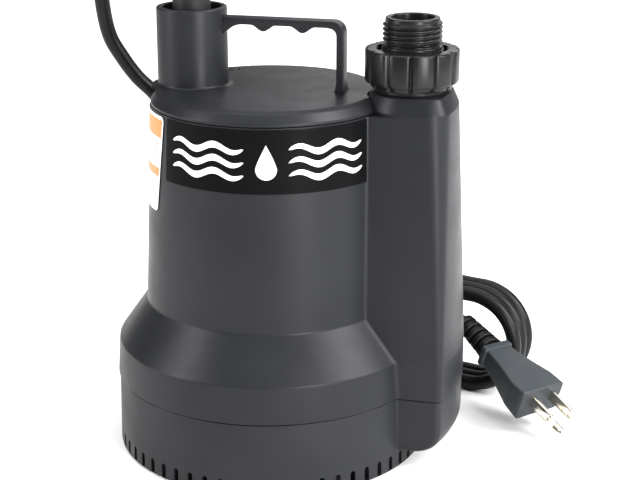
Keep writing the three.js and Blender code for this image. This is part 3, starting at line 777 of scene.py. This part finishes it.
# the fill plug: a domed screw head with a worn drive slot, in a rubber washer
fill_head = lathe(rounded([
    (3.0, 172.6), (3.0, 173.9, 0.3), (2.3, 174.5, 0.4), (0.001, 174.6)], 4), 40, PLUG_X, PLUG_Y)
fill = add_piece(
    "fill_plug_head", [fill_head], BOOT_RUBBER, replaces=["oil_fill_plug"])
slot_box = loft([
    [(PLUG_X - 2.2, PLUG_Y - 0.4, z), (PLUG_X + 2.2, PLUG_Y - 0.4, z),
     (PLUG_X + 2.2, PLUG_Y + 0.4, z), (PLUG_X - 2.2, PLUG_Y + 0.4, z)] for z in (173.9, 176)])
carve(fill, [slot_box], BOOT_RUBBER)
add_piece("fill_plug_washer", [lathe(rounded([
    (3.1, 172.7), (3.1, 173.3, 0.2), (3.65, 173.3, 0.2), (3.65, 172.7)], 3), 40, PLUG_X, PLUG_Y)],
    SEAL_RUBBER)

# ---------------------------------------------------------------- strainer base

base_wall = lathe(rounded([
    (0.001, 0), (73.6, 0, 0.4), (75, 1.1, 0.8), (74.4, 35.8, 0.5), (71.3, 35.8), (72, 2.5),
    (0.001, 2.5)], 5), 240)
base = add_piece("base_wall", [base_wall], BASE_PLASTIC, angle=32)
STRAINER_SLOTS = 60
slots = []
for k in range(STRAINER_SLOTS):
    a = TAU * (k + 0.5) / STRAINER_SLOTS
    outline = [(-1.3, 1.1), (1.3, 1.1)] + arc(0, 7.0, 1.3, 0, math.pi, 6)
    rows = []
    for radius in (66, 80):
        rows.append([
            (radius * math.cos(a) - u * math.sin(a), radius * math.sin(a) + u * math.cos(a), z)
            for u, z in outline])
    slots.append(loft(rows))
carve(base, slots, BASE_PLASTIC, 32)

foot_rings = []
for k in range(9):
    t = k / 8
    z = 9.5 + 10 * (1 - math.cos(t * math.pi / 2))
    drop = 10 * (1 - math.sin(t * math.pi / 2))
    foot_rings.append((z, drop))
foot_rings += [(24, 0), (30, 0), (35.4, 0)]
foot_rows = [
    body_ring(z, 74.2, (WIDE[0] - 0.5 - 0.12 * drop, WIDE[1] - 0.5 - drop, 3.5), inset=0)
    for z, drop in foot_rings]
foot_rows.append(body_ring(35.8, 73.9, (WIDE[0] - 0.9, WIDE[1] - 0.9, 3.2)))
add_piece(
    "base_foot", [loft(foot_rows)], BASE_PLASTIC, replaces=["strainer_base"],
    angle=38)

# ---------------------------------------------------------------- hose adapter

COLLAR = 21.5
TURN_BACK = math.radians(9)


def collar_ring(z, inset):
    """Twelve raised grips with narrow grooves between them."""
    line = []
    for k in range(12):
        for part, depth in ((0.05, 0.85), (0.1, 0.25), (0.15, 0.04), (0.3, 0), (0.5, 0), (0.7, 0),
                            (0.85, 0.04), (0.9, 0.25), (0.95, 0.85), (0.98, 1.15), (1.02, 1.15)):
            a = TAU * (k + part) / 12 + TURN_BACK
            r = COLLAR - depth * 1.2 - inset
            line.append((COLUMN_X + r * math.cos(a), r * math.sin(a), z))
    return line


collar_rows = [
    collar_ring(178.3, 3.1), collar_ring(178.2, 2.95), collar_ring(178.9, 2.6),
    collar_ring(180.2, 2.5), collar_ring(180.35, 1.4), collar_ring(180.6, 0.5),
    collar_ring(181.2, 0.1), collar_ring(182, 0), collar_ring(194.4, 0), collar_ring(195, 0.2),
    collar_ring(195.35, 0.6), collar_ring(195.5, 1.2), collar_ring(195.5, 5),
]
neck = lathe(rounded([
    (14.2, 195.3), (13.7, 195.5), (13.7, 196.6, 0.4), (12.4, 196.9, 0.3), (12.35, 207.3, 0.2),
    (12.3, 209.5, 0.7), (9.7, 209.5, 0.6), (9.55, 190.7), (17.1, 190.7), (17.1, 178.3)], 5),
    120, COLUMN_X)
hose_thread = screw_thread(12.3, 13.5, 197.2, 208.2, COLUMN_X)
add_piece(
    "adapter_collar", [loft(collar_rows, caps=False)], GLOSS_PLASTIC, body="adapter",
    replaces=["hose_adapter"], angle=28)
add_piece("adapter_neck", [neck, hose_thread], GLOSS_PLASTIC, body="adapter",
          replaces=["hose_neck"], angle=40)

# ---------------------------------------------------------------- labels


def barrel_radius(z):
    return mix(59.9, 55.35, (z - 73.5) / (RIM - 0.3 - 73.5))


def on_barrel(degrees, z, lift):
    r = barrel_radius(z) + lift
    a = math.radians(degrees)
    return (r * math.cos(a), r * math.sin(a), z)


def sheet(low_edge, high_edge, lift, columns, rows=10):
    """A thin skin on the barrel between two edges, each given as degrees -> height."""
    points = []
    first, last = columns
    count = max(2, round(abs(last - first) / 1.2))
    for row in range(rows + 1):
        for k in range(count + 1):
            d = mix(first, last, k / count)
            points.append(on_barrel(d, mix(low_edge(d), high_edge(d), row / rows), lift))
    wide = count + 1
    faces = []
    for row in range(rows):
        for k in range(count):
            i = row * wide + k
            faces.append((i, i + 1, i + wide + 1, i + wide))
    return points, faces


add_piece(
    "label_band_film", [sheet(lambda d: 138.4, lambda d: 166.9, 0.45, (-129.5, -22.8))],
    LABEL_BLACK, replaces=["label_band"])


def ribbon(first, last, middle, swing, wave, half):
    """A wavy stripe that swells in the middle of its length."""
    def height(d, side):
        t = (d - first) / (last - first)
        full = half * math.sin(math.pi * min(1, max(0, t))) ** 0.35
        return middle + swing * math.sin(TAU * (d - first) / wave) + side * full
    return sheet(lambda d: height(d, -1), lambda d: height(d, 1), 0.5, (first, last), rows=2)


def droplet(middle, z, tall):
    """A drop with a round foot and a pointed top."""
    outline = []
    for k in range(48):
        a = TAU * k / 48
        up = math.sin(a)
        pinch = 1.0 if up < 0 else (1 - up) ** 0.62 + 0.02
        u = 0.3 * tall * math.cos(a) * pinch
        v = 0.3 * tall * up if up < 0 else 0.7 * tall * up
        outline.append((u, v - 0.2 * tall))
    centre = [on_barrel(middle, z, 0.5)]
    ring = []
    for u, v in outline:
        degrees = middle + math.degrees(u / barrel_radius(z))
        ring.append(on_barrel(degrees, z + v, 0.5))
    faces = [(0, k + 1, (k + 1) % 48 + 1) for k in range(48)]
    return centre + ring, faces


motif = [droplet(-76, 152.6, 15.5)]
for first, last in ((-124, -86), (-66, -28)):
    for middle in (146.6, 152.4, 158.2):
        motif.append(ribbon(first, last, middle, 1.5, 19, 1.5))
add_piece("label_band_motif", motif, LABEL_PRINT)


def side_edge(z):
    """Right edge of the side label, which leans back towards its foot."""
    return mix(-137.6, -132.3, (z - 122) / 45)


def tag(left, z0, z1, lift, shrink=0.0, corner=2.2, rows=14):
    """A rounded panel that ends at the side label's leaning edge."""
    points = []
    count = 30
    for row in range(rows + 1):
        z = mix(z0, z1, row / rows)
        near = min(z - z0, z1 - z)
        cut = 0.0
        if near < corner:
            cut = corner - math.sqrt(corner ** 2 - (corner - near) ** 2)
        lean = math.degrees((cut + shrink) / barrel_radius(z))
        right = side_edge(z) - lean
        start = left + math.degrees(cut / barrel_radius(z))
        points += [on_barrel(mix(start, right, k / count), z, lift) for k in range(count + 1)]
    faces = []
    wide = count + 1
    for row in range(rows):
        for k in range(count):
            i = row * wide + k
            faces.append((i, i + 1, i + wide + 1, i + wide))
    return points, faces


add_piece("side_label_film", [tag(-190, 121.7, 166.6, 0.4, rows=40)], STICKER_WHITE,
          replaces=["side_label"])
add_piece("side_label_orange", [
    tag(-188.5, 156.6, 165, 0.46, 1.1, 0.6, 12), tag(-188.5, 138.3, 142.4, 0.46, 1.1, 0.4, 8)],
    STICKER_ORANGE)
rules = []
for k in range(5):
    rules.append(tag(-186 + 3 * (k % 2), 145 + 2.1 * k, 145.7 + 2.1 * k, 0.46, 2.0, 0.1, 2))
for k in range(6):
    rules.append(tag(-186 + 4 * (k % 3), 124.4 + 2.1 * k, 125.1 + 2.1 * k, 0.46, 2.0, 0.1, 2))
add_piece("side_label_rules", rules, STICKER_GREY)

# ---------------------------------------------------------------- boot and gland

boot_line = [(4.4, 186.4), (8.6, 186.4, 0.3), (8.8, 188), (8.8, 216, 0.8)]
for k in range(5):
    z = 217.2 + 3.3 * k
    r = mix(8.1, 5.8, k / 4)
    boot_line += [(r - 0.9, z, 0.3), (r - 0.9, z + 0.9, 0.3), (r, z + 1.1, 0.4), (r - 0.3, z + 2.8, 0.4)]
boot_line += [(4.9, 234.6, 0.4), (4.7, 236, 0.3), (3.8, 236)]
add_piece("cord_boot", [lathe(rounded(boot_line, 3), 72, TOWER_X)], BOOT_RUBBER,
          replaces=["cord_strain_relief"])

# ---------------------------------------------------------------- CAD nodes that stay

KEPT = {
    "hose_washer": SEAL_RUBBER, "casing_o_ring": SEAL_RUBBER, "shaft_seal": SEAL_RUBBER,
    "volute_casing": BASE_PLASTIC, "seal_plate": BASE_PLASTIC, "impeller": NYLON,
    "impeller_nut": STEEL, "motor_shaft": STEEL, "lower_bearing": STEEL,
    "upper_bearing": STEEL, "motor_casing": STEEL, "run_capacitor": STEEL,
    "stator_core": IRON, "rotor_core": IRON, "lower_end_bracket": IRON,
    "upper_end_bracket": IRON, "stator_winding_lower": COPPER, "stator_winding_upper": COPPER,
    "thermal_protector": BOOT_RUBBER, "cord_gland_ring": GLOSS_PLASTIC,
    "housing_screw_1": STEEL, "housing_screw_2": STEEL, "housing_screw_3": STEEL,
    "housing_screw_4": STEEL,
}
for name, material in KEPT.items():
    node = NODES[name]
    if not node.material_slots:
        node.data.materials.append(material)
    for slot in node.material_slots:
        slot.link = "OBJECT"
        slot.material = material

# ---------------------------------------------------------------- floor and light

floor_graph = Graph("pale_floor")
paper = floor_graph.noise(9, 3)
floor_graph.join(
    floor_graph.blend(floor_graph.spread(paper, 0, 1), (0.86, 0.86, 0.86), (0.9, 0.9, 0.9)),
    floor_graph.shader.inputs["Base Color"])
floor_graph.shader.inputs["Roughness"].default_value = 0.75
floor_mesh = bpy.data.meshes.new("floor")
floor_mesh.from_pydata(
    [(-6, -6, 0), (6, -6, 0), (6, 6, 0), (-6, 6, 0)], [], [(0, 1, 2, 3)])
floor = bpy.data.objects.new("floor", floor_mesh)
floor_mesh.materials.append(floor_graph.material)
bpy.context.scene.collection.objects.link(floor)

# the studio's wall looks white, and lights the pump less than it shows
world = bpy.data.worlds.new("studio")
world.use_nodes = True
sky = world.node_tree
wall = sky.nodes["Background"]
wall.inputs["Color"].default_value = (1, 1, 1, 1)
wall.inputs["Strength"].default_value = 0.16
backdrop = sky.nodes.new("ShaderNodeBackground")
backdrop.inputs["Color"].default_value = (1, 1, 1, 1)
backdrop.inputs["Strength"].default_value = 1.05
seen = sky.nodes.new("ShaderNodeLightPath")
choice = sky.nodes.new("ShaderNodeMixShader")
sky.links.new(seen.outputs["Is Camera Ray"], choice.inputs[0])
sky.links.new(wall.outputs["Background"], choice.inputs[1])
sky.links.new(backdrop.outputs["Background"], choice.inputs[2])
sky.links.new(choice.outputs["Shader"], sky.nodes["World Output"].inputs["Surface"])
bpy.context.scene.world = world


def lamp(name, place, aim, width, height, power):
    data = bpy.data.lights.new(name, "AREA")
    data.shape = "RECTANGLE"
    data.size = width
    data.size_y = height
    data.energy = power
    light = bpy.data.objects.new(name, data)
    light.location = place
    light.rotation_mode = "QUATERNION"
    light.rotation_quaternion = (Vector(aim) - Vector(place)).to_track_quat("-Z", "Y")
    bpy.context.scene.collection.objects.link(light)


lamp("key_right", (1.3, -0.15, 1.0), (0.03, 0, 0.11), 0.6, 1.2, 48)
lamp("strip_right", (0.95, -1.0, 0.4), (0.03, 0, 0.11), 0.16, 0.7, 20)
lamp("fill_left", (-1.15, -0.7, 0.65), (0, 0, 0.12), 0.4, 0.9, 19)
lamp("back", (0.2, 1.7, 0.9), (0, 0, 0.17), 1.4, 0.5, 6)

# an overcast light from straight above, which keeps the whole floor white
overhead = bpy.data.lights.new("overhead", "SUN")
overhead.energy = 3
overhead.angle = math.radians(70)
overhead_lamp = bpy.data.objects.new("overhead", overhead)
overhead_lamp.location = (0, 0, 2)
bpy.context.scene.collection.objects.link(overhead_lamp)

bpy.context.scene.view_settings.view_transform = "Standard"
